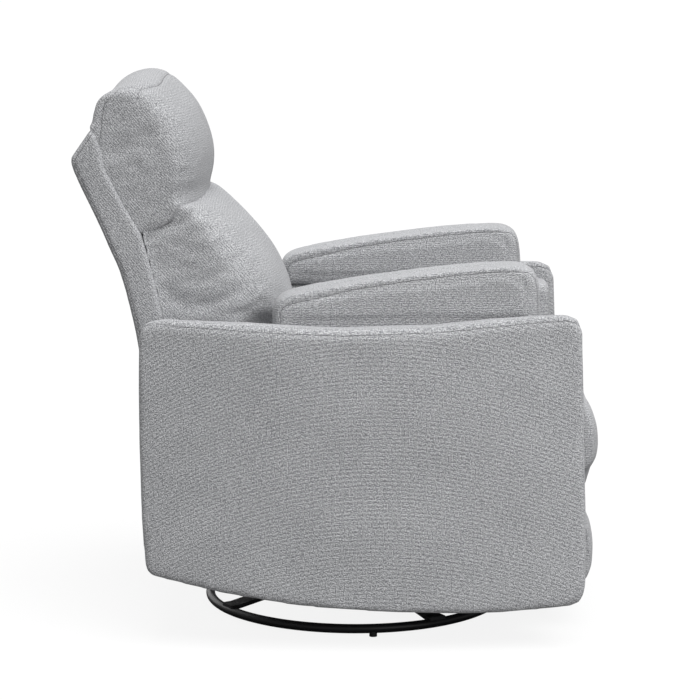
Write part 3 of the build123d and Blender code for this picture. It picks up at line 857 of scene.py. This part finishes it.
def stuffed(node, name, size, inward, cap, give=5 * MM, allow=2.5 * MM, met=(), tuck=4 * MM):
    """A cushion grown from its solid: an even skin of that size, drawn inward and filled up to cap.

    A stuffed block keeps its corners, so no point ends further than give from its place on the solid,
    or further than allow outside it. Where the cushion meets others it is tucked in by a little, so
    that no gap shows between them.
    """
    cushion = even_skin(merged_copy(node, name), size)
    relax(cushion, 1)
    shape = points_of(cushion)
    relax(cushion, 2)
    swell(cushion, -inward)
    inflate(cushion, cap)
    limit_move(cushion, shape, give)
    relax(cushion, 1)
    hold_in(cushion, node, allow)
    if met:
        tuck_in(cushion, shape, met, TUCK_REACH, tuck)
    return cushion


# %% Arm pads
PAD_SEAM = side_path(
    (140, 590), (140, 632), (136, 641), (127, 647), (103, 653), (79, 658), (7, 675), (-67, 687),
    (-128, 695), (-194, 703), (-258, 708), (-300, 710), (-322, 706), (-333, 694), (-337, 672), (-340, 590))
PAD_BAND_HALF = 30 * MM
NO_SEAM = 1.0

for side, _ in SIDES:
    node = "arm_pad_" + side
    low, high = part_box(node)
    pad = stuffed(node, "arm_pad_cushion_" + side, size=5 * MM, inward=5 * MM, cap=11 * MM,
                  give=2 * MM, allow=1.5 * MM, met=["arm_cover_" + side], tuck=0)
    finer(pad)
    ripple(pad, size=0.07, depth=1.0 * MM, seed=2.0, stretch=(1, 0.5, 1))
    middle = (low.x + high.x) / 2

    def from_band(points):
        """Distance from the seam between the band and the side pieces."""
        beside = np.abs(points[:, 0] - middle) > PAD_BAND_HALF
        return np.where(beside, path_distance(points, PAD_SEAM), NO_SEAM)

    sew(pad, "seam_a", from_band, depth=1.2 * MM, width=3.5 * MM)
    lay_cloth(pad, top="y")
    dress(pad, "carriage", [node], cloth_cushion)

# %% [markdown]
# ## Seat, body and head cushions, and the footrest pad
#
# The seat and the pad below it roll over in two full bulges at the front. The back has a deep body
# cushion and a head cushion that overhangs it, parted by a sharp crease. Their ends round forward,
# so each front face is narrower than the cushion at its back.

# %% Seat cushion
SEAT_UNDERCUT = (-470, 285)

seat = stuffed("seat_cushion", "seat_cushion_cover", size=7 * MM, inward=11 * MM, cap=24 * MM,
               give=5 * MM, allow=0.5 * MM)
push(seat, SEAT_UNDERCUT, radius=60 * MM, shift=(10 * MM, 0))
ripple(seat, size=0.11, depth=3.0 * MM, seed=1.3)
ripple(seat, size=0.035, depth=0.8 * MM, seed=7.7)
finer(seat)
lay_cloth(seat)
dress(seat, "carriage", ["seat_cushion"], cloth_cushion)

# %% Footrest pad
foot = stuffed("footrest_pad", "footrest_cushion", size=5 * MM, inward=5 * MM, cap=11 * MM,
               give=4 * MM, allow=0.5 * MM, met=["footrest_board"], tuck=0)
ripple(foot, size=0.07, depth=1.2 * MM, seed=4.2)
finer(foot)
lay_cloth(foot)
dress(foot, "footrest", ["footrest_pad"], cloth_cushion)

# %% Body cushion
CUSHION_END = 0.17
TORSO_FOLDS = (
    (side_path((349, 647), (320, 628), (275, 628)), 4 * MM, 14 * MM),
    (side_path((297, 630), (260, 639), (222, 656)), 3.5 * MM, 7 * MM),
    (side_path((234, 613), (211, 620), (181, 632)), 3 * MM, 7 * MM),
    (side_path((301, 673), (274, 684), (248, 696)), 2 * MM, 12 * MM),
    (side_path((250, 700), (215, 725), (190, 735)), 2 * MM, 12 * MM),
)
NECK_TUCK = side_path((392, 757), (367, 776), (334, 786), (302, 803), (284, 836))
LOW_CORNER = (172, 576)
LOW_CORNER_REACH = 30 * MM
LOW_CORNER_SHRINK = 0.26

torso = stuffed("torso_cushion", "body_cushion", size=7 * MM, inward=13 * MM, cap=26 * MM,
                give=4 * MM, met=["back_shell", "head_cushion"])
for path, depth, width in TORSO_FOLDS:
    crease(torso, path, depth, width, CUSHION_END)
crease(torso, NECK_TUCK, depth=4 * MM, width=7 * MM, inner=CUSHION_END)
points = points_of(torso)
near = np.exp(-(spot_distance(points, LOW_CORNER) / LOW_CORNER_REACH) ** 2)
points[:, 0] *= 1 - LOW_CORNER_SHRINK * near
set_points(torso, points)
ripple(torso, size=0.12, depth=3.5 * MM, seed=6.1)
finer(torso)
ripple(torso, size=0.04, depth=1.6 * MM, where=lambda p: toward_ends(p, 0.12, 0.08), seed=8.8,
       stretch=(1, 1, 2.2))
lay_cloth(torso, slant_rows)
dress(torso, "back", ["torso_cushion"], cloth_cushion)

# %% Head cushion
HEAD_EAR_SEAM = side_path(
    (440, 1080), (443, 1040), (454, 1024), (469, 1011), (474, 981), (476, 953), (482, 925), (484, 880))
HEAD_END_X = 0.222
HEAD_DART = side_path((400, 1041), (405, 1029), (407, 1016))
HEAD_FOLD = side_path((454, 922), (424, 931), (390, 949))
HEAD_CROWN = (405, 1056)
HEAD_EAR = (482, 1004)
CROSS_SEAM_Y = SWIVEL_Y + 0.369
CROSS_SEAM_SWEEP = 34 * MM
SWEEP_START = 0.10
BOXING_LOW = 0.905
DART_FROM_X = 0.20
DART_LOW, DART_HIGH = 1.016, 1.042

head = stuffed("head_cushion", "head_cushion_cover", size=6.5 * MM, inward=12 * MM, cap=24 * MM,
               give=3 * MM, met=["back_shell", "torso_cushion"])
push(head, HEAD_CROWN, radius=60 * MM, shift=(0, 8 * MM))
push(head, HEAD_EAR, radius=45 * MM, shift=(9 * MM, 13 * MM), inner=CUSHION_END)
crease(head, HEAD_FOLD, depth=3 * MM, width=13 * MM, inner=CUSHION_END)
crease(head, HEAD_DART, depth=3 * MM, width=5 * MM, inner=0.15)
crease(head, NECK_TUCK, depth=5 * MM, width=8 * MM, inner=CUSHION_END)
ripple(head, size=0.10, depth=2.5 * MM, seed=2.7)
finer(head)
ripple(head, size=0.035, depth=1.2 * MM, where=lambda p: toward_ends(p, 0.10, 0.1), seed=5.5,
       stretch=(1, 1, 2.0))


def from_boxing(points):
    """Distance from the edge of the boxing strip along the top and rear of the head cushion."""
    across = np.abs(points[:, 0])
    beside = np.minimum(across - HEAD_END_X, -path_distance(points, HEAD_EAR_SEAM))
    sweep = CROSS_SEAM_SWEEP * toward_ends(points, SWEEP_START, HEAD_END_X - SWEEP_START) ** 3
    before = CROSS_SEAM_Y + sweep - points[:, 1]
    return np.where(points[:, 2] > BOXING_LOW, np.maximum(before, beside), NO_SEAM)


def from_dart(points):
    """Distance from the short dart in each end of the head cushion, near its top."""
    in_height = (points[:, 2] > DART_LOW) & (points[:, 2] < DART_HIGH)
    beside = (np.abs(points[:, 0]) > DART_FROM_X) & in_height
    return np.where(beside, path_distance(points, HEAD_DART), NO_SEAM)


sew(head, "seam_a", from_boxing, depth=1.6 * MM, width=4 * MM)
sew(head, "seam_b", from_dart, depth=0.5 * MM, width=3 * MM)
lay_cloth(head, slant_rows)
dress(head, "back", ["head_cushion"], cloth_cushion)

# %% [markdown]
# ## Back shell and rear flap
#
# The back of the chair is a flat boxed shell behind the two cushions, its side band seamed to the
# rear cloth. From its lower edge a loose flap hangs over the mechanism.

# %% Back shell
SHELL_REAR = side_path(
    (404, 440), (404, 470), (407, 511), (410, 549), (417, 588), (425, 625), (434, 663), (446, 702),
    (463, 740), (478, 777), (495, 814), (513, 852), (529, 890), (533, 908), (492, 967))
SHELL_FRONT = side_path(
    (477, 923), (470, 888), (431, 816), (403, 768), (382, 688), (363, 607), (353, 440))
WELT_IN = 7 * MM

shell_low, shell_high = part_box("back_shell")
shell_outline = (*SHELL_REAR, *SHELL_FRONT)
shell_block = block_from("back_shell_cover", shell_outline, shell_low.x, shell_high.x, 4 * MM)
shell = even_skin(shell_block, 6.0 * MM)
relax(shell, 2)
swell(shell, 0.6 * MM)
ripple(shell, size=0.12, depth=1.8 * MM, seed=3.9)
finer(shell)


def from_welt(points):
    """Distance from the seam that goes round the rear cloth, a little in from its edge."""
    inset = np.abs(path_distance(points, SHELL_REAR))
    across = shell_high.x - np.abs(points[:, 0])
    return np.maximum(inset, across) - WELT_IN


sew(shell, "seam_a", from_welt, depth=1.2 * MM, width=3 * MM)
lay_cloth(shell, slant_rows)
dress(shell, "back", ["back_shell"], cloth_cushion)

# %% Rear flap
FLAP_THICK = 2.4 * MM
FLAP_CELL = 4 * MM
FLAP_INSET = 4 * MM
FLAP_WAVES = ((2.6 * MM, 34, 0), (1.2 * MM, 81, 1))
HEM = 18 * MM

flap_low, flap_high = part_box("back_flap")
width, height = flap_high.x - flap_low.x, flap_high.z - flap_low.z
cells = [round(side_length / FLAP_CELL) for side_length in (width, height)]
bm = bmesh.new()
bmesh.ops.create_grid(bm, x_segments=cells[0], y_segments=cells[1], size=0.5)
bmesh.ops.scale(bm, vec=(width, height, 1), verts=bm.verts)
bmesh.ops.rotate(bm, cent=(0, 0, 0), matrix=UPRIGHT, verts=bm.verts)
bmesh.ops.translate(bm, vec=(0, flap_high.y - FLAP_INSET, (flap_low.z + flap_high.z) / 2), verts=bm.verts)
for v in bm.verts:
    drop = (flap_high.z - v.co.z) / height
    v.co.y += sum(depth * drop * math.sin(v.co.x * pace + start) for depth, pace, start in FLAP_WAVES)
flap = from_bmesh("rear_flap", bm)
thicken = flap.modifiers.new("thickness", "SOLIDIFY")
thicken.thickness = FLAP_THICK
thicken.offset = 0
bake(flap)
sew(flap, "seam_a", lambda p: p[:, 2] - flap_low.z - HEM, depth=0.5 * MM, width=3 * MM)
lay_cloth(flap)
dress(flap, "back", ["back_flap"], cloth_panel)

# %% [markdown]
# ## Cloth over the front rail and the footrest board
#
# The timber at the front of the chair is wrapped in the same cloth, a skin 1 mm off the wood.

# %% Wrapped timber
WRAP_LIFT = 1.0 * MM
WRAPPED = (
    ("seat_front_rail", "front_rail_wrap", "carriage"),
    ("footrest_board", "footrest_wrap", "footrest"),
)

for node, name, body in WRAPPED:
    wrap = merged_copy(node, name)
    swell(wrap, WRAP_LIFT)
    lay_cloth(wrap)
    wrap.data.materials.append(cloth_panel)
    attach(wrap, body)
    print(name, len(wrap.data.polygons), "faces")

# %% [markdown]
# ## Floor ring
#
# The ring is one bent tube. A circle spun once round the swivel axis makes it truly round, where the
# plain solid has facets.

# %% Spin the ring
TUBE_SIDES = 24
RING_STEPS = 160

ring_low, ring_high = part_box("floor_ring")
tube = (ring_high.z - ring_low.z) / 2
radius = (ring_high.x - ring_low.x) / 2 - tube
bm = bmesh.new()
bmesh.ops.create_circle(bm, cap_ends=False, radius=tube, segments=TUBE_SIDES)
bmesh.ops.rotate(bm, cent=(0, 0, 0), matrix=UPRIGHT, verts=bm.verts)
bmesh.ops.translate(bm, vec=(radius, SWIVEL_Y, ring_low.z + tube), verts=bm.verts)
bmesh.ops.spin(bm, geom=bm.edges[:] + bm.verts[:], cent=(0, SWIVEL_Y, 0), axis=(0, 0, 1),
               angle=2 * math.pi, steps=RING_STEPS, use_merge=True)
bmesh.ops.recalc_face_normals(bm, faces=bm.faces)
floor_tube = from_bmesh("floor_tube", bm)
floor_tube.data.materials.append(FINISHES["black_steel"])
floor_tube.data.shade_smooth()
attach(floor_tube, "base")
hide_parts("floor_ring")
print("ring tube", round(2 * tube / MM, 1), "mm")
